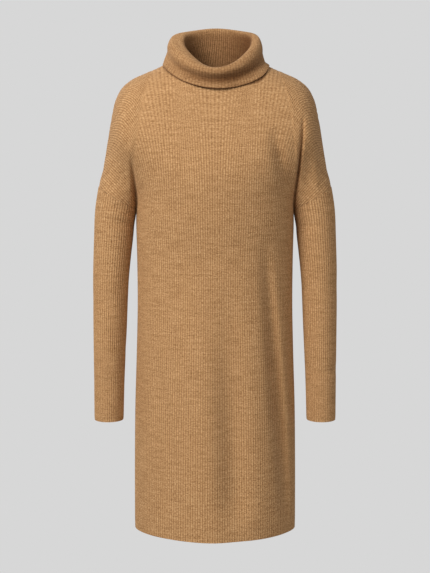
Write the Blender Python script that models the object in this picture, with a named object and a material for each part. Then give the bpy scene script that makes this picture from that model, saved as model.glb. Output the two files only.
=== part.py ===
# Ribbed knit sweater dress: front, back, two long sleeves and a tall collar folded outwards.
# Metres, +Z up, +X towards the wearer's left side, -Y towards the front.
# The origin is in the middle of the neck, level with the high points of the shoulders.
import math

import bmesh
import bpy
import numpy as np


# A table's named columns, each an array with a value for every row.
def table(names, rows):
    return dict(zip(names.split(), np.array(rows, dtype=float).T))


# Cloth
WALL = 0.0022
RIB_HEIGHT = 0.0009
SEAM_GAP = 0.0003
CHORD_SAG = 0.0004       # how far the coarse inner edge of the neckline cuts into the neck
COLUMNS_PER_RIB = 2

# Rib counts
BODY_RIBS_PER_HALF = 46
NECK_RIBS_PER_HALF = 15
SLEEVE_RIBS = 48
COLLAR_RIBS = 96

# Ribs that each column of the plain inside spans. Those near the side seams are closest.
BODY_INNER_SPAN = 2
SIDE_INNER_SPAN = 1
SIDE_RIBS = 8
SLEEVE_INNER_SPAN = 3
COLLAR_INNER_SPAN = 2

# Body
NECK_HALF = 0.0775
NECK_RISE = 0.020
ARMPIT_Z = -0.290
HEM_Z = -0.9225
CHEST_REACH = 0.235
CHEST_POWER = 2.4

# Upper arm, where the dropped shoulder seam crosses it
DROP_OUTER_X = 0.2255
DROP_OUTER_Z = -0.2465
ARMPIT_X = 0.153
ARM_DEPTH = 0.050
CREASE_TOP_Z = -0.13
CREASE_BOTTOM_Z = -0.285
CREASE_SHARPNESS = 6.0
RIB_FADE = 0.030
ARMPIT_ROUND = 0.048

PANELS = {
    "front": {"facing": -1, "neck_drop": 0.065},
    "back": {"facing": 1, "neck_drop": 0.015},
}

# Sections of the body: half width, how far the front and the back stand from the side seam, and
# how full the section is, where 2 is an ellipse.
BODY = table("z half_width front back power", [
    (0.020, 0.1500, 0.064, 0.066, 2.20),
    (-0.065, 0.1500, 0.086, 0.084, 2.20),
    (-0.130, 0.1500, 0.109, 0.101, 2.20),
    (-0.220, 0.1520, 0.126, 0.105, 2.20),
    (-0.290, 0.1530, 0.121, 0.098, 2.20),
    (-0.390, 0.1512, 0.108, 0.088, 2.15),
    (-0.470, 0.1508, 0.108, 0.098, 2.05),
    (-0.570, 0.1532, 0.114, 0.117, 1.90),
    (-0.680, 0.1568, 0.118, 0.120, 1.80),
    (-0.780, 0.1582, 0.121, 0.118, 1.76),
    (-0.930, 0.1588, 0.124, 0.115, 1.72),
])

# The shoulder's outline from the neck point to the drop seam, and how far in its top is rounded.
SHOULDER = table("x z rounding", [
    (0.0775, 0.0000, 0.085),
    (0.1060, -0.0162, 0.072),
    (0.1330, -0.0284, 0.062),
    (0.1605, -0.0412, 0.056),
    (0.1792, -0.0570, 0.053),
    (0.1905, -0.0775, 0.051),
    (0.1990, -0.1120, 0.050),
    (0.2070, -0.1580, 0.048),
    (0.2155, -0.2070, 0.045),
    (DROP_OUTER_X, DROP_OUTER_Z, 0.0426),
])

# Sleeve rings from the drop seam to the cuff, each tilted down towards the body.
SLEEVE = table("along x z tilt half_width front back forward", [
    (0.00, 0.1893, -0.2683, 30.97, 0.04227, 0.0500, 0.0500, 0.0000),
    (0.08, 0.1945, -0.3000, 19.00, 0.0397, 0.0485, 0.0480, 0.0000),
    (0.20, 0.1980, -0.3450, 8.00, 0.0372, 0.0455, 0.0450, 0.0010),
    (0.38, 0.2030, -0.4200, 0.00, 0.0343, 0.0430, 0.0420, 0.0030),
    (0.60, 0.2055, -0.5250, 0.00, 0.0317, 0.0400, 0.0390, 0.0070),
    (0.82, 0.2075, -0.6250, 0.00, 0.0290, 0.0360, 0.0350, 0.0110),
    (1.00, 0.2084, -0.7024, 0.00, 0.0277, 0.0335, 0.0325, 0.0140),
])

# Collar rings from the free edge, over the fold and down inside the neck.
COLLAR = table("front_y back_y half_width front_z side_z back_z left_rise", [
    (-0.1130, 0.0890, 0.1000, -0.0590, -0.0085, 0.0060, -0.0025),
    (-0.1045, 0.0865, 0.0945, -0.0440, 0.0035, 0.0200, -0.0020),
    (-0.1035, 0.0855, 0.0915, -0.0330, 0.0130, 0.0330, -0.0015),
    (-0.1035, 0.0860, 0.0905, -0.0250, 0.0240, 0.0470, -0.0010),
    (-0.0935, 0.0790, 0.0820, -0.0165, 0.0368, 0.0600, 0.0004),
    (-0.0790, 0.0655, 0.0640, -0.0190, 0.0360, 0.0580, 0.0000),
    (-0.0770, 0.0580, 0.0655, -0.0420, 0.0160, 0.0260, 0.0000),
])

# Soft folds: troughs, or ridges where the depth is negative, between two points of the front view.
FOLDS = table("facing x_top z_top x_low z_low half_width depth", [
    (-1, 0.104, -0.420, 0.119, -0.900, 0.014, 0.0080),
    (-1, 0.133, -0.560, 0.137, -0.860, 0.010, -0.0030),
    (-1, 0.022, -0.440, 0.034, -1.150, 0.022, 0.0080),
    (-1, -0.090, -0.560, -0.088, -1.100, 0.024, 0.0055),
    (-1, 0.106, -0.180, 0.128, -0.300, 0.013, 0.0035),
    (-1, 0.172, -0.130, 0.153, -0.330, 0.009, 0.0080),
    (-1, -0.158, -0.170, -0.150, -0.320, 0.009, 0.0060),
    (1, 0.094, -0.400, 0.110, -0.980, 0.017, 0.0070),
    (1, -0.030, -0.480, -0.040, -1.150, 0.023, 0.0075),
    (1, -0.108, -0.360, -0.122, -0.880, 0.015, 0.0065),
    (1, 0.162, -0.150, 0.151, -0.320, 0.009, 0.0065),
    (1, -0.164, -0.140, -0.152, -0.330, 0.009, 0.0065),
])

# Rows of points, as a share of the way from the top edge to the armpit, then on to the hem.
BODY_ROWS = [0.00, 0.06, 0.22, 0.43, 0.63, 0.81, 1.00, 1.20, 1.45, 1.72, 2.00]

# Colours
CAMEL = (0.47, 0.26, 0.125, 1.0)
CAMEL_SHADE = (0.42, 0.225, 0.105, 1.0)

NECK_SHARE = NECK_RIBS_PER_HALF / BODY_RIBS_PER_HALF
DROP_LENGTH = math.hypot(DROP_OUTER_X - ARMPIT_X, DROP_OUTER_Z - ARMPIT_Z)
DROP_CENTRE = np.array([(DROP_OUTER_X + ARMPIT_X) / 2, 0, (DROP_OUTER_Z + ARMPIT_Z) / 2])
DROP_ACROSS = np.array([DROP_OUTER_X - ARMPIT_X, 0, DROP_OUTER_Z - ARMPIT_Z]) / DROP_LENGTH
DROP_NORMAL = np.array([DROP_ACROSS[2], 0, -DROP_ACROSS[0]])
SHOULDER_STEPS = np.hypot(np.diff(SHOULDER["x"]), np.diff(SHOULDER["z"]))
SHOULDER["along"] = np.concatenate([[0], np.cumsum(SHOULDER_STEPS)])


# A smooth curve through a table's rows, read at any values of its key column.
def smooth(rows, key, value, at):
    order = np.argsort(rows[key])
    keys = rows[key][order]
    values = rows[value][order]
    slopes = np.gradient(values, keys)
    at = np.clip(at, keys[0], keys[-1])
    left = np.clip(np.searchsorted(keys, at, side="right") - 1, 0, len(keys) - 2)
    span = keys[left + 1] - keys[left]
    t = (at - keys[left]) / span
    rise = values[left + 1] - values[left]
    bend_in = slopes[left] * span - rise
    bend_out = rise - slopes[left + 1] * span
    return values[left] + t * rise + t * (1 - t) * ((1 - t) * bend_in + t * bend_out)


def ease(value):
    t = np.clip(value, 0, 1)
    return t * t * (3 - 2 * t)


def quarter_round(value, power=2.0):
    t = np.clip(value, 0, 1)
    return (1 - t ** power) ** (1 / power)


def unit(vectors):
    return vectors / np.linalg.norm(vectors, axis=-1, keepdims=True)


# A direction or a place on the wearer's left, turned over to the right where the sign is negative.
def mirrored(vector, sign):
    return np.stack([vector[0] * sign, vector[1] + 0 * sign, vector[2] + 0 * sign], axis=-1)


# The neckline and then the shoulder, in the front view, for a share of the half panel's ribs.
def top_edge(side, neck_drop):
    across = np.sin(np.minimum(side / NECK_SHARE, 1) * math.pi / 2)
    share = np.clip((side - NECK_SHARE) / (1 - NECK_SHARE), 0, 1)
    along = SHOULDER["along"][-1] * (0.78 * share + 0.22 * share ** 2)
    on_neck = side < NECK_SHARE
    x = np.where(on_neck, NECK_HALF * across, smooth(SHOULDER, "along", "x", along))
    z = np.where(on_neck, -neck_drop * (1 - across ** 2), smooth(SHOULDER, "along", "z", along))
    rounding = smooth(SHOULDER, "along", "rounding", along)
    hidden = (NECK_RISE + neck_drop) * (1 - across ** 2)
    return x, z, rounding, hidden


# Ribs stand at even steps round each level section of the body.
def section_x(side, z, facing):
    half = smooth(BODY, "z", "half_width", z)
    middle = smooth(BODY, "z", facing, z)
    turn = side * math.pi / 2 - (half - middle) / (half + middle) / 2 * np.sin(math.pi * side)
    return half * np.sin(turn)


# Troughs fade out towards both ends and across their width.
def fold_depth(x, z, facing):
    total = np.zeros_like(x)
    for i in range(len(FOLDS["depth"])):
        if FOLDS["facing"][i] == facing:
            along = (FOLDS["z_top"][i] - z) / (FOLDS["z_top"][i] - FOLDS["z_low"][i])
            middle = FOLDS["x_top"][i] + along * (FOLDS["x_low"][i] - FOLDS["x_top"][i])
            across = (x - middle) / FOLDS["half_width"][i]
            swell = np.sin(math.pi * np.clip(along, 0, 1))
            total += FOLDS["depth"][i] * swell * np.exp(-across ** 2)
    return total


# How far the cloth stands out from the plane of the side seams.
def body_depth(x, z, side, panel):
    middle = smooth(BODY, "z", panel, z)
    half = smooth(BODY, "z", "half_width", z)
    torso = middle * quarter_round(x / half, smooth(BODY, "z", "power", z))
    chest = middle * quarter_round(x / CHEST_REACH, CHEST_POWER)
    inward = (x - DROP_CENTRE[0]) * DROP_ACROSS[0] + (z - DROP_CENTRE[2]) * DROP_ACROSS[2]
    arm = ARM_DEPTH * quarter_round(-inward / (DROP_LENGTH / 2))
    both = (torso ** CREASE_SHARPNESS + arm ** CREASE_SHARPNESS) ** (1 / CREASE_SHARPNESS)
    lower = ease((CREASE_TOP_Z - z) / (CREASE_TOP_Z - CREASE_BOTTOM_Z))
    apart = 1 - (1 - lower) * (1 - ease((side - 0.72) / 0.28))
    return np.where(z < ARMPIT_Z, torso, chest * (1 - apart) + both * apart)


# A point of a body panel: u runs from side to side, v from the top edge to the armpit and the hem.
def body_point(u, v, panel):
    facing = PANELS[panel]["facing"]
    side = np.abs(u)
    top_x, top_z, rounding, hidden = top_edge(side, PANELS[panel]["neck_drop"])
    upper = np.clip(v, 0, 1)
    bend = 2 - ease((side - 0.80) / 0.20)
    pit_x = section_x(side, ARMPIT_Z, panel)
    z = top_z + (ARMPIT_Z - top_z) * upper + (HEM_Z - ARMPIT_Z) * np.clip(v - 1, 0, 1)
    slanted = pit_x + (top_x - pit_x) * (1 - upper) ** bend
    x = np.where(v < 1, slanted, section_x(side, np.minimum(z, ARMPIT_Z), panel))
    drop = np.hypot(top_x - x, top_z - z)
    shoulder = quarter_round(1 - (hidden + drop) / rounding)
    depth = body_depth(x, z, side, panel) * shoulder
    soft = ease(depth / 0.05) * ease((1 - side) / 0.06)
    depth = depth - fold_depth(x * np.sign(u), z, facing) * soft
    return np.stack([x * np.sign(u), facing * depth, z], axis=-1)


# The cloth's outward direction. Along a seam or the hem it lies in the plane of that edge, and round
# the armpit, where the sleeve and the body part, it turns downwards.
def body_normal(u, v, panel):
    step = 1e-4
    sign = np.where(u < 0, -1, 1)
    here = body_point(u, v, panel)
    beyond = np.where(np.abs(u) > 1 - step, u - sign * step, u + sign * step)
    lower = np.where(v > 2 - step, v - step, v + step)
    along_u = (body_point(beyond, v, panel) - here) * np.sign(beyond - u)[..., None]
    along_v = (body_point(u, lower, panel) - here) * np.sign(lower - v)[..., None]
    normal = unit(np.cross(along_u, along_v)) * PANELS[panel]["facing"]

    on_edge = np.abs(u) > 1 - step
    on_drop = on_edge & (v < 1 - step)
    on_side = on_edge & (v > 1 + step)
    on_shoulder = (np.abs(u) > NECK_SHARE - step) & (v < step)
    drop_normal = mirrored(DROP_NORMAL, sign)
    across = np.sum(normal * drop_normal, axis=-1, keepdims=True)
    normal = np.where(on_drop[..., None], normal - across * drop_normal, normal)
    normal = np.where((on_side | on_shoulder)[..., None], normal * np.array([1, 0, 1]), normal)
    normal = unit(np.where((v > 2 - step)[..., None], normal * np.array([1, 1, 0]), normal))

    armpit = mirrored(np.array([ARMPIT_X, 0, ARMPIT_Z]), sign)
    near = 1 - ease(np.linalg.norm(here - armpit, axis=-1) / ARMPIT_ROUND)
    near = np.where(on_drop | on_side, 0, near)[..., None]
    crotch = mirrored(unit(np.array([1.0, 0, 0]) - DROP_ACROSS), sign)
    return unit(normal * (1 - near) + crotch * near)


# Ribs stand highest between the valleys and die away towards a point, such as the armpit.
def rib_lift(count, points, quiet_spots):
    wave = np.arange(count) % COLUMNS_PER_RIB / (COLUMNS_PER_RIB / 2)
    lift = RIB_HEIGHT * np.minimum(wave, 2 - wave)[:, None] * np.ones(points.shape[:2])
    for spot in quiet_spots:
        lift = lift * ease(np.linalg.norm(points - np.array(spot), axis=-1) / RIB_FADE)
    return lift[..., None]


def body_grid(panel):
    columns = 2 * BODY_RIBS_PER_HALF * COLUMNS_PER_RIB
    u, v = np.meshgrid(np.linspace(-1, 1, columns + 1), BODY_ROWS, indexing="ij")
    points = body_point(u, v, panel)
    normals = body_normal(u, v, panel)
    armpits = [(ARMPIT_X, 0, ARMPIT_Z), (-ARMPIT_X, 0, ARMPIT_Z)]
    outer = points + normals * rib_lift(columns + 1, points, armpits)
    ribs = list(range(0, BODY_RIBS_PER_HALF - SIDE_RIBS, BODY_INNER_SPAN))
    ribs += list(range(BODY_RIBS_PER_HALF - SIDE_RIBS, BODY_RIBS_PER_HALF + 1, SIDE_INNER_SPAN))
    half = np.array(ribs) * COLUMNS_PER_RIB
    kept = columns // 2 + np.concatenate([-half[:0:-1], half])
    inner = (points - normals * WALL)[kept]
    for grid in (outer, inner):
        facing = PANELS[panel]["facing"]
        grid[..., 1] = facing * np.maximum(facing * grid[..., 1], SEAM_GAP / 2)
    return outer, inner, list(kept)


# A ring round the sleeve: turn 0 is outside, a quarter turn is in front, a half turn is at the body.
def sleeve_point(turn, along, mirror):
    tilt = np.radians(smooth(SLEEVE, "along", "tilt", along))
    half = smooth(SLEEVE, "along", "half_width", along)
    reach = np.where(np.sin(turn) > 0, smooth(SLEEVE, "along", "front", along),
                     smooth(SLEEVE, "along", "back", along))
    x = smooth(SLEEVE, "along", "x", along) + half * np.cos(turn) * np.cos(tilt)
    z = smooth(SLEEVE, "along", "z", along) + half * np.cos(turn) * np.sin(tilt)
    y = -reach * np.sin(turn) - smooth(SLEEVE, "along", "forward", along)
    points = np.stack([x, y, z], axis=-1) + DROP_NORMAL * SEAM_GAP
    return points * np.array([mirror, 1, 1])


def sleeve_normal(turn, along, mirror):
    step = 1e-4
    here = sleeve_point(turn, along, mirror)
    round_it = sleeve_point(turn + step, along, mirror) - here
    lower = np.where(along > 1 - step, along - step, along + step)
    down_it = (sleeve_point(turn, lower, mirror) - here) * np.sign(lower - along)[..., None]
    normal = unit(np.cross(round_it, down_it)) * mirror
    across = DROP_NORMAL * np.array([mirror, 1, 1])
    flat = normal - across * np.sum(normal * across, axis=-1, keepdims=True)
    normal = np.where((along < step)[..., None], flat, normal)
    return unit(np.where((along > 1 - step)[..., None], normal * np.array([1, 1, 0]), normal))


def sleeve_grid(mirror):
    columns = SLEEVE_RIBS * COLUMNS_PER_RIB
    turns = np.arange(columns) * 2 * math.pi / columns
    turn, along = np.meshgrid(turns, SLEEVE["along"], indexing="ij")
    points = sleeve_point(turn, along, mirror)
    normals = sleeve_normal(turn, along, mirror)
    outer = points + normals * rib_lift(columns, points, [(mirror * ARMPIT_X, 0, ARMPIT_Z)])
    kept = list(range(0, columns, COLUMNS_PER_RIB * SLEEVE_INNER_SPAN))
    return outer, (points - normals * WALL)[kept], kept


# The collar's rings: turn 0 is in front, a quarter turn is over the wearer's left shoulder.
def collar_ring(turn, row):
    front_y, back_y, half, front_z, side_z, back_z, left_rise = (COLLAR[name][row] for name in COLLAR)
    twice = ((front_z + back_z) / 2 - side_z) / 2
    x = half * np.sin(turn)
    y = (front_y + back_y) / 2 + (front_y - back_y) / 2 * np.cos(turn)
    z = side_z + twice + (front_z - back_z) / 2 * np.cos(turn) + twice * np.cos(2 * turn)
    z += left_rise * np.sin(turn)
    return np.stack([x, y, z], axis=-1)


# The collar is sewn to the neckline: its last ring follows the panels' edge, a seam's gap above it.
def collar_seam(turn):
    u = np.arcsin(np.sin(turn)) / (math.pi / 2) * NECK_SHARE
    v = np.zeros_like(u)
    in_front = (np.cos(turn) > 0)[..., None]
    edge = np.where(in_front, body_point(u, v, "front"), body_point(u, v, "back"))
    outward = np.where(in_front, body_normal(u, v, "front"), body_normal(u, v, "back"))
    along = np.roll(edge, -1, axis=0) - np.roll(edge, 1, axis=0)
    inward = unit(np.cross(outward, along))
    inside = edge - outward * WALL + inward * (SEAM_GAP + CHORD_SAG)
    return inside, edge + inward * SEAM_GAP


def collar_grid():
    columns = COLLAR_RIBS * COLUMNS_PER_RIB
    turn = np.arange(columns) * 2 * math.pi / columns
    rings = [collar_ring(turn, row) for row in range(len(COLLAR["half_width"]))]
    inside, outside = collar_seam(turn)
    points = np.stack(rings + [inside], axis=1)
    round_it = np.roll(points, -1, axis=0) - np.roll(points, 1, axis=0)
    down_it = np.gradient(points, axis=1)
    normals = unit(np.cross(round_it, down_it))
    lift = rib_lift(columns, points, [])
    lift[:, -1] = 0
    outer = points + normals * lift
    inner = points - normals * WALL
    inner[:, -1] = outside
    kept = list(range(0, columns, COLUMNS_PER_RIB * COLLAR_INNER_SPAN))
    return outer, inner[kept], kept


# A closed wall between a ribbed grid of points and a plain one, which has only the kept columns.
def cloth_wall(name, grids, colour, is_tube):
    outer, inner, kept = grids
    work = bmesh.new()
    near = [[work.verts.new(point) for point in column] for column in outer]
    far = [[work.verts.new(point) for point in column] for column in inner]
    rows = len(near[0])
    if is_tube:
        kept = kept + [len(near)]
        near.append(near[0])
        far.append(far[0])
    for columns in (near, far):
        for left, right in zip(columns, columns[1:]):
            for row in range(rows - 1):
                work.faces.new((left[row], right[row], right[row + 1], left[row + 1]))
    for row in (0, rows - 1):
        for k, (first, last) in enumerate(zip(kept, kept[1:])):
            middle = (first + last) // 2
            for i in range(first, last):
                corner = far[k][row] if i < middle else far[k + 1][row]
                work.faces.new((near[i][row], near[i + 1][row], corner))
            work.faces.new((far[k][row], near[middle][row], far[k + 1][row]))
    if not is_tube:
        for side in (0, -1):
            for row in range(rows - 1):
                corners = (near[side][row], near[side][row + 1], far[side][row + 1], far[side][row])
                work.faces.new(corners)
    bmesh.ops.recalc_face_normals(work, faces=work.faces)
    if work.calc_volume(signed=True) < 0:
        bmesh.ops.reverse_faces(work, faces=work.faces)
    mesh = bpy.data.meshes.new(name)
    work.to_mesh(mesh)
    work.free()
    mesh.materials.append(knit_material(name, colour))
    dress.objects.link(bpy.data.objects.new(name, mesh))


def knit_material(name, colour):
    material = bpy.data.materials.new(name + "_knit")
    material.use_nodes = True
    shader = material.node_tree.nodes["Principled BSDF"]
    shader.inputs["Base Color"].default_value = colour
    shader.inputs["Roughness"].default_value = 0.95
    shader.inputs["Metallic"].default_value = 0.0
    return material


for old in list(bpy.data.objects):
    bpy.data.objects.remove(old, do_unlink=True)
dress = bpy.data.collections.new("sweater_dress")
bpy.context.scene.collection.children.link(dress)

cloth_wall("front_panel", body_grid("front"), CAMEL, False)
cloth_wall("back_panel", body_grid("back"), CAMEL_SHADE, False)
cloth_wall("left_sleeve", sleeve_grid(1), CAMEL, True)
cloth_wall("right_sleeve", sleeve_grid(-1), CAMEL_SHADE, True)
cloth_wall("roll_collar", collar_grid(), CAMEL, True)
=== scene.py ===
import math

import bmesh
import bpy
import numpy as np
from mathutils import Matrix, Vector
from mathutils.bvhtree import BVHTree


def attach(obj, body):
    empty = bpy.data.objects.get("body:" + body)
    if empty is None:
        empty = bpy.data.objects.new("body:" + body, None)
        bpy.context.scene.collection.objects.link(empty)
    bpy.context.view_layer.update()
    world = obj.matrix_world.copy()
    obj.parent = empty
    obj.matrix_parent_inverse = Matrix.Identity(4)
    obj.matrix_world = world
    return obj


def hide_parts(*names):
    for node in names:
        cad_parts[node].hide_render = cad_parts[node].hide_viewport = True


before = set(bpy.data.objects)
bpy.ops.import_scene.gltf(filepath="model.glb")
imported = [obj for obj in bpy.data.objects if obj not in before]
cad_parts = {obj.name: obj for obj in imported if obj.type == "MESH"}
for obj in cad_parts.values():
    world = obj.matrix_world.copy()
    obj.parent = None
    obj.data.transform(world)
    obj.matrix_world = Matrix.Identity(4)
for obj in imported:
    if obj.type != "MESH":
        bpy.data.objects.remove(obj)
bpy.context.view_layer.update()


# ---- camera first
camera = {
    "place": (0.0, -2.8, -0.15),
    "aim": (0.0, 0.0, -0.4418),
    "focalPixels": 1436.0,
    "frame": (430, 573),     # the photograph's size
    "sensor": 36.0,
}


def aimAtDress(name, data, place):
    shown = bpy.data.objects.new(name, data)
    bpy.context.scene.collection.objects.link(shown)
    shown.location = place
    ahead = Vector(camera["aim"]) - Vector(place)
    shown.rotation_euler = ahead.to_track_quat("-Z", "Y").to_euler()
    return shown


def makeCamera():
    data = bpy.data.cameras.new("portraitCamera")
    data.sensor_width = camera["sensor"]
    data.lens = camera["focalPixels"] * camera["sensor"] / max(camera["frame"])
    bpy.context.scene.camera = aimAtDress("portraitCamera", data, camera["place"])


makeCamera()
print("camera placed")


# ---- small helpers
def table(names, rows):
    return dict(zip(names.split(), np.array(rows, dtype=float).T))


def smooth(rows, key, value, at):      # a smooth curve through a table's rows
    order = np.argsort(rows[key])
    keys = rows[key][order]
    values = rows[value][order]
    slopes = np.gradient(values, keys)
    at = np.clip(at, keys[0], keys[-1])
    left = np.clip(np.searchsorted(keys, at, side="right") - 1, 0, len(keys) - 2)
    span = keys[left + 1] - keys[left]
    t = (at - keys[left]) / span
    rise = values[left + 1] - values[left]
    bendIn = slopes[left] * span - rise
    bendOut = rise - slopes[left + 1] * span
    return values[left] + t * rise + t * (1 - t) * ((1 - t) * bendIn + t * bendOut)


def ease(value):
    t = np.clip(value, 0, 1)
    return t * t * (3 - 2 * t)


def quarterRound(value, power=2.0):
    t = np.clip(value, 0, 1)
    return (1 - t ** power) ** (1 / power)


def unit(vectors):
    return vectors / np.linalg.norm(vectors, axis=-1, keepdims=True)


def mirrored(vector, sign):            # turned over to the wearer's right where the sign is negative
    return np.stack([vector[0] * sign, vector[1] + 0 * sign, vector[2] + 0 * sign], axis=-1)


# ---- cloth
cloth = {
    "wall": 0.0022,          # thickness between the ribs
    "ribHeight": 0.0009,
    "seamGap": 0.0003,
    "stitchLength": 0.0026,  # one course of stitches
    "edgeTuck": 0.0004,      # how far a linked edge rolls in
    "edgeReach": 0.0050,
}

dress = {
    "neckHalf": 0.0775,
    "neckRise": 0.020,       # how far the round of the shoulders would go on over the neck
    "armpitX": 0.153,
    "armpitZ": -0.290,
    "hemZ": -0.9225,
    "chestReach": 0.235,     # half width and fullness of the chest's one round over both arms
    "chestPower": 2.4,
    "dropOuterX": 0.2255,    # dropped shoulder seam, at the outside of the arm
    "dropOuterZ": -0.2465,
    "armDepth": 0.050,
    "armShare": 0.72,        # the arm's own round shows past this share of the half width
    "creaseTopZ": -0.13,
    "creaseBottomZ": -0.285,
    "creaseSharpness": 6.0,
    "straightShare": 0.80,   # past it the columns run straight from the shoulder to the armpit
    "shoulderSpread": 0.22,  # how much wider they stand at the drop seam than at the neck
    "ribFade": 0.012,
    "armpitRound": 0.040,
    "foldFade": (0.05, 0.06),        # folds end where the cloth is shallow, and at the side seams
    "hemHold": 0.75,         # how much of a fold the hem pulls flat
    "hemHoldReach": (0.005, 0.085),
    "wingTop": (0.122, -0.035),      # above the armpit's crease the ribs turn over the shoulder
    "wingLow": (0.153, -0.200),
    "wingCurve": 0.6,
    "wingBend": 0.012,       # over this width the ribs bend into their slant
    "wingPitch": 0.0044,
    "wingSlope": 0.93,
    "wingFade": 0.0036,      # either side of the turn the ribs are flat
    "shoulderTurn": 0.035,   # down to here the ribs are unrolled over the shoulder's top
    "unrolledShare": 0.30,   # but less and less this near the drop seam
    "yokeFade": 0.42,        # the brushed upper chest has lower ribs
    "yokeZ": (-0.20, -0.10),
    "ribsPerHalf": 46,
    "neckRibs": 15,
    "columnsPerRib": 3,
    "rowsAbove": 146,        # rows of faces from the top edge to the armpit
    "rowsBelow": 30,         # and from the armpit to the hem
    "rowCrowding": 0.35,     # how much closer they are near the top edge
    "cut": (0.52, 0.92),     # width and length of one knitted panel, laid flat
    "cutArea": 0.42,         # it is narrower below the armpit
}

panels = {
    "front": {"facing": -1, "neckDrop": 0.062},
    "back": {"facing": 1, "neckDrop": 0.015},
}

# sections of the body: half width, how far the front and the back stand from the side seams, and
# how full the section is: 2 is an ellipse
bodySections = table("z halfWidth front back power", [
    (0.020, 0.1500, 0.067, 0.066, 2.20),
    (-0.065, 0.1500, 0.090, 0.084, 2.20),
    (-0.130, 0.1500, 0.109, 0.101, 2.20),
    (-0.220, 0.1520, 0.126, 0.105, 2.20),
    (-0.290, 0.1530, 0.121, 0.098, 2.20),
    (-0.390, 0.1512, 0.108, 0.088, 2.15),
    (-0.470, 0.1508, 0.108, 0.098, 2.05),
    (-0.570, 0.1532, 0.114, 0.117, 1.90),
    (-0.680, 0.1568, 0.118, 0.120, 1.80),
    (-0.780, 0.1582, 0.121, 0.118, 1.76),
    (-0.930, 0.1588, 0.124, 0.115, 1.72),
])

# the shoulder's outline from the neck point to the drop seam
shoulderLine = table("x z rounding", [
    (0.0775, 0.0000, 0.085),
    (0.1060, -0.0162, 0.072),
    (0.1330, -0.0284, 0.062),
    (0.1605, -0.0412, 0.056),
    (0.1792, -0.0570, 0.053),
    (0.1905, -0.0775, 0.051),
    (0.1990, -0.1120, 0.050),
    (0.2070, -0.1580, 0.048),
    (0.2155, -0.2070, 0.045),
    (dress["dropOuterX"], dress["dropOuterZ"], 0.0426),
])
steps = np.hypot(np.diff(shoulderLine["x"]), np.diff(shoulderLine["z"]))
shoulderLine["along"] = np.concatenate([[0], np.cumsum(steps)])

# soft folds: troughs, or ridges where the depth is negative, between two points of the front view
folds = table("facing xTop zTop xLow zLow halfWidth depth", [
    (-1, 0.093, -0.350, 0.146, -0.960, 0.0120, 0.0225),
    (-1, 0.018, -0.420, 0.052, -1.120, 0.0310, 0.0200),
    (-1, -0.092, -0.560, -0.088, -1.100, 0.0240, 0.0045),
    (-1, 0.108, -0.130, 0.143, -0.275, 0.0130, 0.0110),
    (-1, 0.1665, -0.110, 0.1485, -0.340, 0.0032, 0.0165),
    (-1, -0.158, -0.175, -0.149, -0.345, 0.0048, 0.0140),
    (-1, -0.138, -0.240, -0.147, -0.330, 0.0070, 0.0035),
    (-1, -0.030, -0.896, 0.095, -0.893, 0.0050, 0.0012),
    (-1, 0.060, -0.330, 0.128, -0.372, 0.0110, 0.0022),
    (-1, 0.186, -0.100, 0.196, -0.262, 0.0100, -0.0050),
    (1, 0.094, -0.400, 0.110, -0.980, 0.0170, 0.0070),
    (1, -0.030, -0.480, -0.040, -1.150, 0.0230, 0.0075),
    (1, -0.108, -0.360, -0.122, -0.880, 0.0150, 0.0065),
    (1, 0.166, -0.140, 0.149, -0.340, 0.0065, 0.0095),
    (1, -0.168, -0.130, -0.150, -0.345, 0.0065, 0.0095),
    (1, -0.105, -0.300, 0.070, -0.345, 0.0120, 0.0025),
])

armpit = np.array([dress["armpitX"], 0, dress["armpitZ"]])
dropOuter = np.array([dress["dropOuterX"], 0, dress["dropOuterZ"]])
dropLength = np.linalg.norm(dropOuter - armpit)
dropCentre = (dropOuter + armpit) / 2
dropAcross = (dropOuter - armpit) / dropLength
dropNormal = np.array([dropAcross[2], 0, -dropAcross[0]])
neckShare = dress["neckRibs"] / dress["ribsPerHalf"]


def topEdge(side, neckDrop):           # neckline, then shoulder
    across = np.sin(np.minimum(side / neckShare, 1) * math.pi / 2)
    share = np.clip((side - neckShare) / (1 - neckShare), 0, 1)
    spread = dress["shoulderSpread"]
    along = shoulderLine["along"][-1] * ((1 - spread) * share + spread * share ** 2)
    onNeck = side < neckShare
    x = np.where(onNeck, dress["neckHalf"] * across, smooth(shoulderLine, "along", "x", along))
    z = np.where(onNeck, -neckDrop * (1 - across ** 2), smooth(shoulderLine, "along", "z", along))
    rounding = smooth(shoulderLine, "along", "rounding", along)
    hidden = (dress["neckRise"] + neckDrop) * (1 - across ** 2)
    return x, z, rounding, hidden


def sectionX(side, z, panel):          # even rib pitch round a level section
    half = smooth(bodySections, "z", "halfWidth", z)
    middle = smooth(bodySections, "z", panel, z)
    turn = side * math.pi / 2 - (half - middle) / (half + middle) / 2 * np.sin(math.pi * side)
    return half * np.sin(turn)


def foldDepth(x, z, facing):
    total = np.zeros_like(x)
    for i in range(len(folds["depth"])):
        if folds["facing"][i] == facing:
            reachX = folds["xLow"][i] - folds["xTop"][i]
            reachZ = folds["zLow"][i] - folds["zTop"][i]
            length = math.hypot(reachX, reachZ)
            offX, offZ = x - folds["xTop"][i], z - folds["zTop"][i]
            along = (offX * reachX + offZ * reachZ) / length ** 2
            across = (offX * reachZ - offZ * reachX) / length / folds["halfWidth"][i]
            swell = np.sin(math.pi * np.clip(along, 0, 1))
            total += folds["depth"][i] * swell * np.exp(-across ** 2)
    low, high = dress["hemHoldReach"]
    return total * (1 - dress["hemHold"] * ease((dress["hemZ"] + high - z) / (high - low)))


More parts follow.
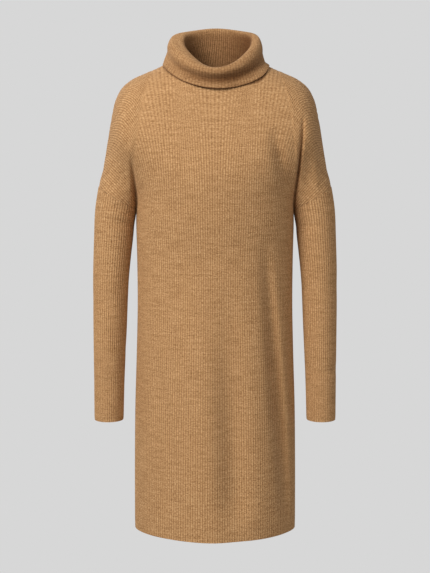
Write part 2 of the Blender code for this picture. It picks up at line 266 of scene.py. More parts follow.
def bodyDepth(x, z, side, panel):      # how far the cloth stands out from the side seams' plane
    middle = smooth(bodySections, "z", panel, z)
    half = smooth(bodySections, "z", "halfWidth", z)
    torso = middle * quarterRound(x / half, smooth(bodySections, "z", "power", z))
    chest = middle * quarterRound(x / dress["chestReach"], dress["chestPower"])
    inward = (x - dropCentre[0]) * dropAcross[0] + (z - dropCentre[2]) * dropAcross[2]
    arm = dress["armDepth"] * quarterRound(-inward / (dropLength / 2))
    sharp = dress["creaseSharpness"]
    both = (torso ** sharp + arm ** sharp) ** (1 / sharp)
    lower = ease((dress["creaseTopZ"] - z) / (dress["creaseTopZ"] - dress["creaseBottomZ"]))
    outer = ease((side - dress["armShare"]) / (1 - dress["armShare"]))
    apart = 1 - (1 - lower) * (1 - outer)
    return np.where(z < dress["armpitZ"], torso, chest * (1 - apart) + both * apart)


def bodyPoint(u, v, panel):            # u from side to side; v 0 top edge, 1 armpit, 2 hem
    facing = panels[panel]["facing"]
    side = np.abs(u)
    topX, topZ, rounding, hidden = topEdge(side, panels[panel]["neckDrop"])
    upper = np.clip(v, 0, 1)
    bend = 2 - ease((side - dress["straightShare"]) / (1 - dress["straightShare"]))
    pitX = sectionX(side, dress["armpitZ"], panel)
    z = topZ + (dress["armpitZ"] - topZ) * upper
    z = z + (dress["hemZ"] - dress["armpitZ"]) * np.clip(v - 1, 0, 1)
    slanted = pitX + (topX - pitX) * (1 - upper) ** bend
    x = np.where(v < 1, slanted, sectionX(side, np.minimum(z, dress["armpitZ"]), panel))
    drop = np.hypot(topX - x, topZ - z)
    shoulder = quarterRound(1 - (hidden + drop) / rounding)
    depth = bodyDepth(x, z, side, panel) * shoulder
    shallow, nearSeam = dress["foldFade"]
    soft = ease(depth / shallow) * ease((1 - side) / nearSeam)
    depth = depth - foldDepth(x * np.sign(u), z, facing) * soft
    return np.stack([x * np.sign(u), facing * depth, z], axis=-1)


def bodyNormal(u, v, panel):           # outward; in the seam's plane along a seam
    step = 1e-4
    sign = np.where(u < 0, -1, 1)
    here = bodyPoint(u, v, panel)
    beyond = np.where(np.abs(u) > 1 - step, u - sign * step, u + sign * step)
    lower = np.where(v > 2 - step, v - step, v + step)
    alongU = (bodyPoint(beyond, v, panel) - here) * np.sign(beyond - u)[..., None]
    alongV = (bodyPoint(u, lower, panel) - here) * np.sign(lower - v)[..., None]
    normal = unit(np.cross(alongU, alongV)) * panels[panel]["facing"]
    onEdge = np.abs(u) > 1 - step
    onDrop = onEdge & (v < 1 - step)
    onSide = onEdge & (v > 1 + step)
    onShoulder = (np.abs(u) > neckShare - step) & (v < step)
    acrossSeam = mirrored(dropNormal, sign)
    lean = np.sum(normal * acrossSeam, axis=-1, keepdims=True)
    normal = np.where(onDrop[..., None], normal - lean * acrossSeam, normal)
    normal = np.where((onSide | onShoulder)[..., None], normal * np.array([1, 0, 1]), normal)
    normal = unit(np.where((v > 2 - step)[..., None], normal * np.array([1, 1, 0]), normal))
    away = np.linalg.norm(here - mirrored(armpit, sign), axis=-1)
    near = np.where(onDrop | onSide, 0, 1 - ease(away / dress["armpitRound"]))[..., None]
    pitOutward = mirrored(unit(np.array([1.0, 0, 0]) - dropAcross), sign)
    return unit(normal * (1 - near) + pitOutward * near)


def ribLift(phase):                    # rounded ribs with narrow valleys at whole phases
    return cloth["ribHeight"] * np.sqrt(np.maximum(0.5 - 0.5 * np.cos(2 * math.pi * phase), 0))


def quiet(points, spots):              # ribs die away towards an armpit
    share = np.ones(points.shape[:-1])
    for spot in spots:
        share = share * ease(np.linalg.norm(points - np.array(spot), axis=-1) / dress["ribFade"])
    return share


def wingRibs(points):                  # past the armpit's crease the ribs slant up to the shoulder
    x, z = np.abs(points[..., 0]), points[..., 2]
    rise = np.hypot(np.diff(points[..., 1], axis=1), np.diff(z, axis=1))
    rise = np.concatenate([np.zeros((len(z), 1)), np.cumsum(rise, axis=1)], axis=1)
    drop = z[:, :1] - z
    turned = rise - drop
    settled = np.argmax(drop > dress["shoulderTurn"], axis=1)[:, None]
    seamShare = np.abs(np.linspace(-1, 1, len(z)))[:, None]
    overTop = np.maximum(np.take_along_axis(turned, settled, axis=1) - turned, 0)
    inward = ease((1 - seamShare) / dress["unrolledShare"])
    flatZ = z + overTop * inward       # unrolled where the cloth turns over the shoulder's top
    (topX, topZ), (lowX, lowZ) = dress["wingTop"], dress["wingLow"]
    down = np.clip((topZ - z) / (topZ - lowZ), 0, 1)
    past = x - (topX + (lowX - topX) * down ** dress["wingCurve"])
    slope, pitch = dress["wingSlope"], dress["wingPitch"]
    tilted = math.hypot(1, slope)
    bend = dress["wingBend"] * np.exp(-np.maximum(past, 0) / dress["wingBend"])
    ribs = (slope * x - bend - flatZ) / (pitch * tilted)
    courses = (x + slope * flatZ) / tilted / cloth["stitchLength"]
    isWing = (past > 0) & (z > dress["armpitZ"])
    fade = np.where(z > dress["armpitZ"], ease(np.abs(past) / dress["wingFade"]), 1)
    yokeLow, yokeHigh = dress["yokeZ"]
    yoke = 1 - dress["yokeFade"] * ease((z - yokeLow) / (yokeHigh - yokeLow))
    return isWing, ribs, courses, fade * np.where(past > 0, 1, yoke)


def rollIn(along, rollTop, rollBottom):     # how far the linked edges roll in
    roll = np.zeros_like(along)
    if rollBottom:
        roll += 1 - ease((along[:, -1:] - along) / cloth["edgeReach"])
    if rollTop:
        roll += 1 - ease((along - along[:, :1]) / cloth["edgeReach"])
    return roll * cloth["edgeTuck"]


def closeRims(work, isTube):           # joins the outer and the inner face along the edges
    rims = [edge for edge in work.edges if edge.is_boundary]
    for edge in rims:
        edge.smooth = False
    if isTube:
        middle = sum(edge.verts[0].co.z for edge in rims) / len(rims)
        bmesh.ops.bridge_loops(work, edges=[e for e in rims if e.verts[0].co.z > middle])
        bmesh.ops.bridge_loops(work, edges=[e for e in rims if e.verts[0].co.z <= middle])
    else:
        bmesh.ops.bridge_loops(work, edges=rims)


# A closed cloth with ribs on the outside. For each pair of shares across and down, shape() gives
# the surface between the ribs, the outward direction, how much of the ribs' height is left, and
# the row that the courses are counted from.
def knitCloth(name, columns, rows, ribs, shape, isTube, rollTop, rollBottom):
    work = bmesh.new()
    layer = work.loops.layers.uv.new("knit")
    ribLayer = work.verts.layers.float.new("rib")
    # painted shade, kept per vertex for the material
    shadeLayer = work.verts.layers.float.new("shade")
    slantLayer = work.verts.layers.float.new("slant")
    bmesh.ops.create_grid(work, x_segments=columns, y_segments=rows, size=0.5, calc_uvs=True)
    work.verts.ensure_lookup_table()
    flat = np.array([v.co for v in work.verts])
    across = np.round((flat[:, 0] + 0.5) * columns).astype(int)
    down = np.round((0.5 - flat[:, 1]) * rows).astype(int)
    s, t = np.meshgrid(np.arange(columns + 1) / columns, np.arange(rows + 1) / rows, indexing="ij")
    laid = shape(s, t)
    points, normals, height, start = laid["points"], laid["normals"], laid["height"], laid["start"]
    length = np.linalg.norm(np.diff(points, axis=1), axis=-1)
    along = np.concatenate([np.zeros((columns + 1, 1)), np.cumsum(length, axis=1)], axis=1)
    along = along - along[:, start:start + 1]
    roll = rollIn(along, rollTop, rollBottom)
    phase = s * ribs
    course = along / cloth["stitchLength"]
    isWing = np.zeros(s.shape, dtype=bool)
    if "wings" in laid:
        isWing, slanted, wingCourse, fade = laid["wings"]
        height = height * fade
        phase = np.where(isWing, slanted, phase)
    lift = ribLift(phase) * height
    outer = points + normals * (lift - roll)[..., None]
    inner = points - normals * (cloth["wall"] - roll)[..., None]
    for face in work.faces:
        corner = min(loop.vert.index for loop in face.loops)
        onWing = isWing[across[corner], down[corner]]
        for loop in face.loops:
            at = across[loop.vert.index], down[loop.vert.index]
            loop[layer].uv = (slanted[at], wingCourse[at]) if onWing else (s[at] * ribs, course[at])
    copied = bmesh.ops.duplicate(work, geom=work.verts[:] + work.edges[:] + work.faces[:])
    pairs = copied["vert_map"]
    originals = work.verts[:len(flat)]
    for i, vert in enumerate(originals):
        vert.co = outer[across[i], down[i]]
        pairs[vert].co = inner[across[i], down[i]]
        vert[ribLayer] = pairs[vert][ribLayer] = height[across[i], down[i]]
        vert[slantLayer] = height[across[i], down[i]] * isWing[across[i], down[i]]
        if "shade" in laid:
            vert[shadeLayer] = pairs[vert][shadeLayer] = laid["shade"][across[i], down[i]]
    inside = [item for item in copied["geom"] if isinstance(item, bmesh.types.BMFace)]
    bmesh.ops.reverse_faces(work, faces=inside)
    if isTube:
        bmesh.ops.remove_doubles(work, verts=work.verts[:], dist=1e-6)
    closeRims(work, isTube)
    if work.calc_volume(signed=True) < 0:
        bmesh.ops.reverse_faces(work, faces=work.faces[:])
    for face in work.faces:
        face.smooth = True
    mesh = bpy.data.meshes.new(name)
    work.to_mesh(mesh)
    work.free()
    piece = bpy.data.objects.new(name, mesh)
    bpy.context.scene.collection.objects.link(piece)
    return piece


# ---- front and back panels
# the collar's lower edge, and the shadow painted on the panels under it
collarEdge = {
    "halfWidth": 0.100,
    "heights": (-0.0590, -0.0150, -0.0030, -0.0045),     # front, sides, back, left over right
    "cornerDrop": 0.0065,    # it hangs lower at the left front
    "cornerTurn": 1.05,
    "cornerWidth": 0.05,
    "shadow": 0.0045,        # how far the painted shadow reaches past the edge, down and at the sides
    "sideShadow": 0.003,
    # how dark the painted shadow is on the panels
    "panelShade": 0.85,
}


def ringHeight(frontZ, sideZ, backZ, leftRise, turn):
    twice = ((frontZ + backZ) / 2 - sideZ) / 2
    level = sideZ + twice + (frontZ - backZ) / 2 * np.cos(turn)
    return level + twice * np.cos(2 * turn) + leftRise * np.sin(turn)


def cornerShare(turn):
    return np.exp((np.cos(turn - collarEdge["cornerTurn"]) - 1) / collarEdge["cornerWidth"])


def paintedShadowUnderCollar(points, facing):       # painted shadow: 1 beneath the collar's lower edge, 0 clear of it
    x, z = points[..., 0], points[..., 2]
    turn = np.arcsin(np.clip(x / collarEdge["halfWidth"], -1, 1))
    turn = turn if facing < 0 else math.pi - turn
    edge = ringHeight(*collarEdge["heights"], turn) - collarEdge["cornerDrop"] * cornerShare(turn)
    inside = ease((collarEdge["halfWidth"] - np.abs(x)) / collarEdge["sideShadow"] + 1)
    return ease((z - edge) / collarEdge["shadow"] + 1) * inside


def panelShape(panel):
    above = dress["rowsAbove"] / (dress["rowsAbove"] + dress["rowsBelow"])

    def shape(s, t):
        u = 2 * s - 1
        top = np.clip(t / above, 0, 1)
        crowded = dress["rowCrowding"] * top ** 2 + (1 - dress["rowCrowding"]) * top
        v = np.where(t <= above, crowded, 1 + (t - above) / (1 - above))
        points = bodyPoint(u, v, panel)
        normals = bodyNormal(u, v, panel)
        height = quiet(points, [armpit, armpit * np.array([-1, 1, 1])])
        # painted shadow on the panels under the collar's lower edge
        shade = collarEdge["panelShade"] * paintedShadowUnderCollar(points, panels[panel]["facing"])
        return {"points": points, "normals": normals, "height": height, "shade": shade,
                "start": dress["rowsAbove"], "wings": wingRibs(points)}

    return shape


def makePanel(name, panel):
    columns = 2 * dress["ribsPerHalf"] * dress["columnsPerRib"]
    rows = dress["rowsAbove"] + dress["rowsBelow"]
    ribs = 2 * dress["ribsPerHalf"]
    return knitCloth(name, columns, rows, ribs, panelShape(panel), False, False, True)


frontCloth = makePanel("front_cloth", "front")
backCloth = makePanel("back_cloth", "back")
print("front and back panels knitted")


# ---- sleeves
sleeve = {
    "ribs": 48,
    "columnsPerRib": 6,
    "rows": 64,
    "foldFade": 0.05,        # no crease this near an end, as a share of the length
    "cut": (0.275, 0.46),    # upper width and length, laid flat
    "cutArea": 0.108,        # it tapers to the cuff
}

sleeveRings = table("along x z tilt halfWidth front back forward", [
    (0.00, 0.1893, -0.2683, 30.97, 0.04227, 0.0500, 0.0500, 0.0000),
    (0.08, 0.1945, -0.3000, 19.00, 0.0397, 0.0485, 0.0480, 0.0000),
    (0.20, 0.1980, -0.3450, 8.00, 0.0372, 0.0455, 0.0450, 0.0010),
    (0.38, 0.2030, -0.4200, 0.00, 0.0343, 0.0430, 0.0420, 0.0030),
    (0.60, 0.2055, -0.5250, 0.00, 0.0317, 0.0400, 0.0390, 0.0070),
    (0.82, 0.2075, -0.6250, 0.00, 0.0290, 0.0360, 0.0350, 0.0110),
    (1.00, 0.2084, -0.7024, 0.00, 0.0277, 0.0335, 0.0325, 0.0140),
])

# soft creases: where round the arm and how far down, how wide each way, how deep
sleeveFolds = table("mirror turn along wide tall depth", [
    (1, 1.20, 0.770, 1.10, 0.020, 0.0022),
    (1, 2.20, 0.120, 0.80, 0.022, 0.0024),
    (1, 1.00, 0.420, 0.90, 0.045, 0.0016),
    (-1, 1.70, 0.035, 0.90, 0.016, 0.0024),
    (-1, 2.00, 0.110, 0.80, 0.022, 0.0022),
    (-1, 1.30, 0.480, 1.00, 0.040, 0.0016),
    (-1, 1.60, 0.830, 1.00, 0.035, 0.0012),
    (1, 4.60, 0.420, 0.90, 0.025, 0.0024),
    (1, 5.00, 0.620, 0.90, 0.030, 0.0020),
    (-1, 4.70, 0.400, 0.90, 0.025, 0.0024),
    (-1, 4.30, 0.680, 0.90, 0.030, 0.0020),
])


def sleeveFold(turn, along, mirror):
    total = np.zeros_like(along)
    for i in range(len(sleeveFolds["depth"])):
        if sleeveFolds["mirror"][i] == mirror:
            aside = (np.mod(turn, 2 * math.pi) - sleeveFolds["turn"][i]) / sleeveFolds["wide"][i]
            down = (along - sleeveFolds["along"][i]) / sleeveFolds["tall"][i]
            total += sleeveFolds["depth"][i] * np.exp(-aside ** 2 - down ** 2)
    return total * ease(along / sleeve["foldFade"]) * ease((1 - along) / sleeve["foldFade"])


def sleevePoint(turn, along, mirror):  # turn 0 is outside, a quarter turn is in front
    tilt = np.radians(smooth(sleeveRings, "along", "tilt", along))
    fold = sleeveFold(turn, along, mirror)
    half = smooth(sleeveRings, "along", "halfWidth", along) - fold
    reach = np.where(np.sin(turn) > 0, smooth(sleeveRings, "along", "front", along),
                     smooth(sleeveRings, "along", "back", along)) - fold
    x = smooth(sleeveRings, "along", "x", along) + half * np.cos(turn) * np.cos(tilt)
    z = smooth(sleeveRings, "along", "z", along) + half * np.cos(turn) * np.sin(tilt)
    y = -reach * np.sin(turn) - smooth(sleeveRings, "along", "forward", along)
    points = np.stack([x, y, z], axis=-1) + dropNormal * cloth["seamGap"]
    return points * np.array([mirror, 1, 1])


def sleeveNormal(turn, along, mirror):
    step = 1e-4
    here = sleevePoint(turn, along, mirror)
    roundIt = sleevePoint(turn + step, along, mirror) - here
    lower = np.where(along > 1 - step, along - step, along + step)
    downIt = (sleevePoint(turn, lower, mirror) - here) * np.sign(lower - along)[..., None]
    normal = unit(np.cross(roundIt, downIt)) * mirror
    acrossSeam = dropNormal * np.array([mirror, 1, 1])
    level = normal - acrossSeam * np.sum(normal * acrossSeam, axis=-1, keepdims=True)
    normal = np.where((along < step)[..., None], level, normal)
    return unit(np.where((along > 1 - step)[..., None], normal * np.array([1, 1, 0]), normal))


def makeSleeve(name, mirror):
    def shape(s, t):
        turn = (s + 0.5) * 2 * math.pi     # the seam is at the underarm
        points = sleevePoint(turn, t, mirror)
        normals = sleeveNormal(turn, t, mirror)
        height = quiet(points, [armpit * np.array([mirror, 1, 1])])
        return {"points": points, "normals": normals, "height": height, "start": sleeve["rows"]}

    columns = sleeve["ribs"] * sleeve["columnsPerRib"]
    return knitCloth(name, columns, sleeve["rows"], sleeve["ribs"], shape, True, False, True)


leftCloth = makeSleeve("left_sleeve_cloth", 1)
rightCloth = makeSleeve("right_sleeve_cloth", -1)
print("sleeves knitted")


# ---- roll collar
collar = {
    "ribs": 96,
    "columnsPerRib": 6,
    "rows": 40,
    "chordSag": 0.0004,      # kept clear of the neckline's straight edges between its points
    "backSag": 0.0038,
    "standOff": 0.0006,      # between the fold and the panels' ribs
    "restGrid": (184, 60),   # how finely the panels under the fold are measured
    "restDown": 0.6,         # and how far down, of 1 at the armpit
    "restAside": 0.002,
    "restShare": (0.28, 0.48),       # the fold rests up to here, and is free from there on
    "foldRibs": 0.55,        # how much of the ribs' height the fold has, and the throat
    "throatRibs": 1.30,
    "seamFade": 0.06,
    "cut": (0.56, 0.155),    # its middle width as it is stretched over the neck, and its height
    "cutArea": 0.085,
    "bandShare": 0.27,       # the hollow under the roll, where the band of painted shade is centred
    "crestShare": 0.655,     # where the fold turns into the throat
    "throatShare": 0.78,
}

# painted shade on the collar, as shares of the melange's shade: down the throat, over the front and
# its hollow under the roll, along the lower edge, and a little everywhere
collarPaintedShade = {
    "everywhere": 0.12,
    # painted shade down the throat, more at the sides and at the left
    "throat": 0.50,
    "throatSides": 0.18,
    "throatLeft": 0.26,
    "front": 0.15,
    "frontTurn": 0.28,       # the painted shade is darkest a little to the left
    "frontPower": 2.4,
    # painted shade in the hollow under the roll
    "band": 0.68,
    "bandWidth": 0.16,
    # painted shadow along the lower edge, where it lies on the panels
    "edge": 0.45,
    "edgeWidth": 0.025,
}

# flat: how much nearer the middle of the front lies; corner: how much higher its two corners are
collarRings = table("frontY backY halfWidth frontZ sideZ backZ leftRise midX flat corner", [
    (-0.1035, 0.0890, collarEdge["halfWidth"], *collarEdge["heights"], 0.0, 0.0065, 0.0),
    (-0.0965, 0.0865, 0.0950, -0.0510, -0.0005, 0.0140, -0.0035, 0.0000, 0.0035, 0.0),
    (-0.0935, 0.0855, 0.0915, -0.0425, 0.0110, 0.0300, -0.0020, 0.0000, 0.0015, 0.0),
    (-0.1005, 0.0860, 0.0905, -0.0305, 0.0240, 0.0470, -0.0010, 0.0000, 0.0, 0.0010),
    (-0.0925, 0.0790, 0.0830, -0.0213, 0.0368, 0.0612, 0.0000, 0.0010, 0.0, 0.0040),
    (-0.0790, 0.0655, 0.0660, -0.0245, 0.0350, 0.0580, 0.0000, 0.0050, 0.0, 0.0050),
    (-0.0770, 0.0580, 0.0660, -0.0420, 0.0160, 0.0260, 0.0000, 0.0040, 0.0, 0.0030),
])


def collarRing(turn, row):             # turn 0 is in front
    (frontY, backY, half, frontZ, sideZ, backZ, leftRise, midX, flat,
     corner) = (collarRings[name][row] for name in collarRings)
    ahead = np.maximum(np.cos(turn), 0)
    x = midX + half * np.sin(turn)
    y = (frontY + backY) / 2 + (frontY - backY) / 2 * np.cos(turn) + flat * ahead ** 3
    sag = np.where(ahead > 0, -corner, collar["backSag"]) * np.sin(2 * turn) ** 2
    z = ringHeight(frontZ, sideZ, backZ, leftRise, turn) - sag
    z = z - collarEdge["cornerDrop"] * cornerShare(turn) * max(1 - row / 2, 0)
    return np.stack([x, y, z], axis=-1)


def restOn(points, share, panel):      # lifts the fold's lower part off a panel
    facing = panels[panel]["facing"]
    work = bmesh.new()
    wide, tall = collar["restGrid"]
    bmesh.ops.create_grid(work, x_segments=wide, y_segments=tall, size=1.0)
    flat = np.array([v.co for v in work.verts])
    down = collar["restDown"] * (1 - flat[:, 1]) / 2
    for vert, place in zip(work.verts, bodyPoint(flat[:, 0], down, panel)):
        vert.co = place
    work.normal_update()
    ground = BVHTree.FromBMesh(work)
    work.free()
    clear = cloth["wall"] + cloth["ribHeight"] + collar["standOff"]
    for i, j in np.argwhere((share > 0) & (points[..., 1] * facing > 0)):
        place = Vector(points[i, j])
        hit, normal, face, reach = ground.find_nearest(place)
        normal = normal * math.copysign(1, normal.y * facing)
        gap = (place - hit).dot(normal)
        aside = (place - hit - normal * gap).length
        if aside < collar["restAside"] and gap < clear:
            points[i, j] += np.array(normal) * (clear - gap) * share[i, j]


def collarSeam(turn):                  # sewn to the neckline, a seam's gap above it
    u = np.arcsin(np.sin(turn)) / (math.pi / 2) * neckShare
    v = np.zeros_like(u)
    inFront = (np.cos(turn) > 0)[..., None]
    edge = np.where(inFront, bodyPoint(u, v, "front"), bodyPoint(u, v, "back"))
    outward = np.where(inFront, bodyNormal(u, v, "front"), bodyNormal(u, v, "back"))
    ahead = np.roll(edge, -1, axis=0) - np.roll(edge, 1, axis=0)
    inward = unit(np.cross(outward, ahead))
    return edge - outward * cloth["wall"] + inward * (cloth["seamGap"] + collar["chordSag"])


def throughRings(rings, t):            # a smooth curve through the rings, from edge to throat
    count = len(rings)
    place = t * (count - 1)
    left = np.clip(np.floor(place).astype(int), 0, count - 2)
    f = (place - left)[..., None]
    stack = np.stack(rings, axis=0)
    column = np.arange(stack.shape[1])[:, None] + 0 * left

    def ring(i):
        return stack[np.clip(i, 0, count - 1), column]

    before, a, b, after = ring(left - 1), ring(left), ring(left + 1), ring(left + 2)
    slopeA, slopeB = (b - before) / 2, (after - a) / 2
    return (a * (1 + 2 * f) * (1 - f) ** 2 + slopeA * f * (1 - f) ** 2
            + b * f * f * (3 - 2 * f) + slopeB * f * f * (f - 1))


# painted shade on the collar, from the throat, the front and its hollow, and the lower edge
def paintShadeOnCollar(turn, t, throat):
    front = (0.5 + 0.5 * np.cos(turn - collarPaintedShade["frontTurn"])) ** collarPaintedShade["frontPower"]
    band = np.exp(-((t - collar["bandShare"]) / collarPaintedShade["bandWidth"]) ** 2)
    edge = np.exp(-(t / collarPaintedShade["edgeWidth"]) ** 2)
    sides = np.sin(turn)
    inside = collarPaintedShade["throat"] + collarPaintedShade["throatSides"] * sides ** 2
    inside = inside + collarPaintedShade["throatLeft"] * np.maximum(sides, 0)
    outside = (collarPaintedShade["front"] + collarPaintedShade["band"] * band) * front
    shade = throat * inside + (1 - throat) * outside
    return collarPaintedShade["everywhere"] + shade + collarPaintedShade["edge"] * edge


def makeCollar(name):
    columns = collar["ribs"] * collar["columnsPerRib"]

    def shape(s, t):
        turn = s[:, 0] * 2 * math.pi + math.pi         # its own seam is at the back
        ring = turn[:-1]
        rings = [collarRing(ring, row) for row in range(len(collarRings["halfWidth"]))]
        rings = rings + [collarSeam(ring)]
        rings = [np.concatenate([loop, loop[:1]]) for loop in rings]
        points = throughRings(rings, t)
        resting, free = collar["restShare"]
        share = 1 - ease((t - resting) / (free - resting))
        restOn(points, share, "front")
        restOn(points, share, "back")
        roundIt = np.roll(points[:-1], -1, axis=0) - np.roll(points[:-1], 1, axis=0)
        roundIt = np.concatenate([roundIt, roundIt[:1]])
        normals = unit(np.cross(roundIt, np.gradient(points, axis=1)))
        throat = ease((t - collar["crestShare"]) / (collar["throatShare"] - collar["crestShare"]))
        height = collar["foldRibs"] + (collar["throatRibs"] - collar["foldRibs"]) * throat
        height = height * ease((1 - t) / collar["seamFade"])
        return {"points": points, "normals": normals, "height": height, "start": 0,
                "shade": paintShadeOnCollar(turn[:, None], t, throat)}

    return knitCloth(name, columns, collar["rows"], collar["ribs"], shape, True, True, False)


collarCloth = makeCollar("collar_cloth")
print("collar knitted")


# ---- one material for every piece
def linear(colour):                    # an sRGB hex value
    parts = [int(colour[i:i + 2], 16) / 255 for i in (1, 3, 5)]
    return [p / 12.92 if p <= 0.04045 else ((p + 0.055) / 1.055) ** 2.4 for p in parts] + [1.0]


def addNode(tree, kind, inputs=(), **settings):
    node = tree.nodes.new(kind)
    for key, value in settings.items():
        setattr(node, key, value)
    for key, value in dict(inputs).items():
        if isinstance(value, bpy.types.NodeSocket):
            tree.links.new(value, node.inputs[key])
        else:
            node.inputs[key].default_value = value
    return node


# Wool-blend melange yarn, knitted in a rib and lightly brushed: matt, with a faint nap. The tone
# runs along the yarn, so it shows as short level streaks. Single fibres are too fine to show, so
# the speckle is drawn about a stitch wide.
melange = {
    "dark": "#8E663E",
    "middle": "#B98D5F",
    "light": "#D5AB7B",
    "tones": (0.29, 0.50, 0.71),         # where the dark, middle and light yarns stand
    "valley": (0.62, 0.57, 0.51, 1.0),   # painted shade: how much of the light a valley keeps
    "shade": (0.30, 0.21, 0.13, 1.0),    # and the deepest painted shade, inside the collar
    "flat": 0.36,            # a valley's share of painted shade on a surface without ribs
    "ribPitch": 4.3,         # mm, on the skirt
    "coursePitch": cloth["stitchLength"] * 1000,
    # sizes in mm along and across a course
    "streak": {"size": (35.8, 4.73), "detail": 3.0, "roughness": 0.65, "share": 0.32},
    "speckle": {"size": (3.91, 2.0), "detail": 2.0, "roughness": 0.70, "share": 0.68},
    "shift": (17.0, 31.0),   # each piece is knitted from another stretch of yarn
    "stitchLean": 0.55,
    "stitchRound": 0.7,
    "fuzz": 0.35,            # height of the speckle's fibres, of a stitch's
    "slantRelief": 1.6,
    "bump": 0.5,
    "bumpDepth": 0.0006,
    "surface": {"Roughness": 0.92, "IOR": 1.5, "Specular IOR Level": 0.25,
                "Sheen Weight": 0.12, "Sheen Roughness": 0.5},
    "sheenTint": "#E6C9A4",
}


def melangeKnit(name, pattern):
    material = bpy.data.materials.new(name)
    material.use_nodes = True
    tree = material.node_tree
    shader = tree.nodes["Principled BSDF"]
    lay = addNode(tree, "ShaderNodeUVMap", uv_map="knit").outputs["UV"]
    parts = addNode(tree, "ShaderNodeSeparateXYZ", {"Vector": lay})
    across, course = parts.outputs["X"], parts.outputs["Y"]

    # 0 on a rib's crest, 1 in the valley
    phase = addNode(tree, "ShaderNodeMath", {0: across}, operation="FRACT").outputs[0]
    side = addNode(tree, "ShaderNodeMath", {0: phase, 1: 2.0, 2: -1.0}, operation="MULTIPLY_ADD")
    side = addNode(tree, "ShaderNodeMath", {0: side.outputs[0]}, operation="ABSOLUTE").outputs[0]
    quarter = addNode(tree, "ShaderNodeMath", {0: side, 1: math.pi / 2}, operation="MULTIPLY")
    crest = addNode(tree, "ShaderNodeMath", {0: quarter.outputs[0]}, operation="COSINE").outputs[0]

    # streaks along the yarn, and a speckle of fibres
    yarn = {}
    for kind in ("streak", "speckle"):
        grain = melange[kind]
        scale = (melange["ribPitch"] / grain["size"][0], melange["coursePitch"] / grain["size"][1], 1)
        offset = (pattern * melange["shift"][0], pattern * melange["shift"][1], 0)
        place = addNode(tree, "ShaderNodeMapping",
                        {"Vector": lay, "Location": offset, "Scale": scale})
        noise = addNode(tree, "ShaderNodeTexNoise",
                        {"Vector": place.outputs["Vector"], "Scale": 1.0,
                         "Detail": grain["detail"], "Roughness": grain["roughness"]},
                        noise_dimensions="2D")
        yarn[kind] = noise.outputs["Fac"]
    speckled = addNode(tree, "ShaderNodeMath",
                       {0: yarn["speckle"], 1: melange["speckle"]["share"]}, operation="MULTIPLY")
    tone = addNode(tree, "ShaderNodeMath",
                   {0: yarn["streak"], 1: melange["streak"]["share"], 2: speckled.outputs[0]},
                   operation="MULTIPLY_ADD")
    ramp = addNode(tree, "ShaderNodeValToRGB", {"Fac": tone.outputs[0]})
    colours = ramp.color_ramp.elements
    colours[0].position, colours[0].color = melange["tones"][0], linear(melange["dark"])
    colours[1].position, colours[1].color = melange["tones"][2], linear(melange["light"])
    colours.new(melange["tones"][1]).color = linear(melange["middle"])

    # painted shade: the valleys between the ribs are darker, and so are the inside of the collar, its
    # front and lower edge, and the panels under that edge
    ribs = addNode(tree, "ShaderNodeAttribute", attribute_name="rib")
    valley = addNode(tree, "ShaderNodeMath", {0: crest, 1: -1.0, 2: 1.0}, operation="MULTIPLY_ADD")
    valley = addNode(tree, "ShaderNodeMix",
                     {0: ribs.outputs["Fac"], 2: melange["flat"], 3: valley.outputs[0]},
                     data_type="FLOAT")
    white = (1.0, 1.0, 1.0, 1.0)
    paintedValleyShade = addNode(tree, "ShaderNodeMix", {0: valley.outputs[0], 6: white, 7: melange["valley"]},
                     data_type="RGBA")
    # painted shade from the mesh's shade attribute: the collar's throat, front and lower edge, and
    # the panels under that edge
    shaded = addNode(tree, "ShaderNodeAttribute", attribute_name="shade")
    hollow = addNode(tree, "ShaderNodeMix", {0: shaded.outputs["Fac"], 6: white, 7: melange["shade"]},
                     data_type="RGBA")
    keep = addNode(tree, "ShaderNodeMix", {0: 1.0, 6: paintedValleyShade.outputs[2], 7: hollow.outputs[2]},
                   data_type="RGBA", blend_type="MULTIPLY")
    shade = addNode(tree, "ShaderNodeMix", {0: 1.0, 6: ramp.outputs["Color"], 7: keep.outputs[2]},
                    data_type="RGBA", blend_type="MULTIPLY")
    tree.links.new(shade.outputs[2], shader.inputs["Base Color"])

    # stitches: two legs of a V on each rib, one V a course
    slant = addNode(tree, "ShaderNodeMath", {0: side, 1: melange["stitchLean"], 2: course},
                    operation="MULTIPLY_ADD")
    slant = addNode(tree, "ShaderNodeMath", {0: slant.outputs[0], 1: math.pi},
                    operation="MULTIPLY")
    leg = addNode(tree, "ShaderNodeMath", {0: slant.outputs[0]}, operation="SINE")
    leg = addNode(tree, "ShaderNodeMath", {0: leg.outputs[0]}, operation="ABSOLUTE")
    full = addNode(tree, "ShaderNodeMath", {0: side, 1: math.pi}, operation="MULTIPLY")
    full = addNode(tree, "ShaderNodeMath", {0: full.outputs[0]}, operation="SINE")
    plump = melange["stitchRound"]
    full = addNode(tree, "ShaderNodeMath", {0: full.outputs[0], 1: plump, 2: 1 - plump},
                   operation="MULTIPLY_ADD")
    stitch = addNode(tree, "ShaderNodeMath", {0: leg.outputs[0], 1: full.outputs[0]},
                     operation="MULTIPLY")
    height = addNode(tree, "ShaderNodeMath",
                     {0: yarn["speckle"], 1: melange["fuzz"], 2: stitch.outputs[0]},
                     operation="MULTIPLY_ADD")

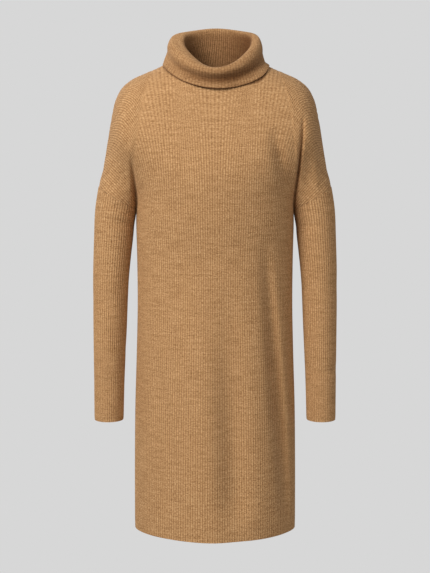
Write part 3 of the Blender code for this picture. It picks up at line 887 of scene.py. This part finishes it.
    # the slanted ribs of the shoulders cross the mesh's rows, so their edges are sharpened here
    slanted = addNode(tree, "ShaderNodeAttribute", attribute_name="slant")
    slanted = addNode(tree, "ShaderNodeMath",
                      {0: slanted.outputs["Fac"], 1: melange["slantRelief"]}, operation="MULTIPLY")
    height = addNode(tree, "ShaderNodeMath",
                     {0: crest, 1: slanted.outputs[0], 2: height.outputs[0]},
                     operation="MULTIPLY_ADD")
    bump = addNode(tree, "ShaderNodeBump",
                   {"Strength": melange["bump"], "Distance": melange["bumpDepth"],
                    "Height": height.outputs[0]})
    tree.links.new(bump.outputs["Normal"], shader.inputs["Normal"])
    for socket, value in melange["surface"].items():
        shader.inputs[socket].default_value = value
    shader.inputs["Sheen Tint"].default_value = linear(melange["sheenTint"])
    return material


clothPieces = {
    "front_panel": (frontCloth, dress),
    "back_panel": (backCloth, dress),
    "left_sleeve": (leftCloth, sleeve),
    "right_sleeve": (rightCloth, sleeve),
    "roll_collar": (collarCloth, collar),
}
for pattern, (node, (piece, made)) in enumerate(clothPieces.items(), start=1):
    piece.data.materials.append(melangeKnit(f"wool_melange_rib_{pattern}", pattern))
    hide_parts(node)
    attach(piece, "root")
print("knit materials made")


# ---- studio
studio = {
    "floorZ": -1.40,         # well below the hem
    "floorRadius": 8.0,
    "backdropRadius": 9.0,
    "backdrop": "#D7D7D7",
    "room": 0.36,            # even light from all round
    "key": {"place": (-2.1, -2.7, 1.9), "size": 1.9, "watts": 168.0},
    "fill": {"place": (2.2, -3.2, 0.3), "size": 2.2, "watts": 24.0},
    "back": {"place": (-1.6, 3.0, 1.2), "size": 2.2, "watts": 50.0},
}


def glowing(name, colour):             # plain paper, evenly lit
    material = bpy.data.materials.new(name)
    material.use_nodes = True
    tree = material.node_tree
    tree.nodes.clear()
    glow = addNode(tree, "ShaderNodeEmission", {"Color": linear(colour), "Strength": 1.0})
    addNode(tree, "ShaderNodeOutputMaterial", {"Surface": glow.outputs["Emission"]})
    return material


def makeStage(name, build):
    work = bmesh.new()
    build(work)
    mesh = bpy.data.meshes.new(name)
    work.to_mesh(mesh)
    work.free()
    shown = bpy.data.objects.new(name, mesh)
    shown.data.materials.append(glowing("studio_paper_" + name, studio["backdrop"]))
    bpy.context.scene.collection.objects.link(shown)
    shown.visible_diffuse = False
    shown.visible_glossy = False
    shown.visible_shadow = False


def buildFloor(work):
    bmesh.ops.create_circle(work, cap_ends=True, segments=96, radius=studio["floorRadius"])
    bmesh.ops.translate(work, verts=work.verts, vec=(0, 0, studio["floorZ"]))


def buildBackdrop(work):
    bmesh.ops.create_uvsphere(work, u_segments=48, v_segments=24, radius=studio["backdropRadius"])


makeStage("floor", buildFloor)
makeStage("backdrop", buildBackdrop)

for name in ("key", "fill", "back"):
    lamp = bpy.data.lights.new(name + "Light", "AREA")
    lamp.shape = "SQUARE"
    lamp.size = studio[name]["size"]
    lamp.energy = studio[name]["watts"]
    aimAtDress(name + "Light", lamp, studio[name]["place"])

world = bpy.data.worlds.new("studioRoom")
world.use_nodes = True
world.node_tree.nodes["Background"].inputs["Color"].default_value = (1, 1, 1, 1)
world.node_tree.nodes["Background"].inputs["Strength"].default_value = studio["room"]
bpy.context.scene.world = world
bpy.context.scene.view_settings.view_transform = "Standard"
print("studio lit")
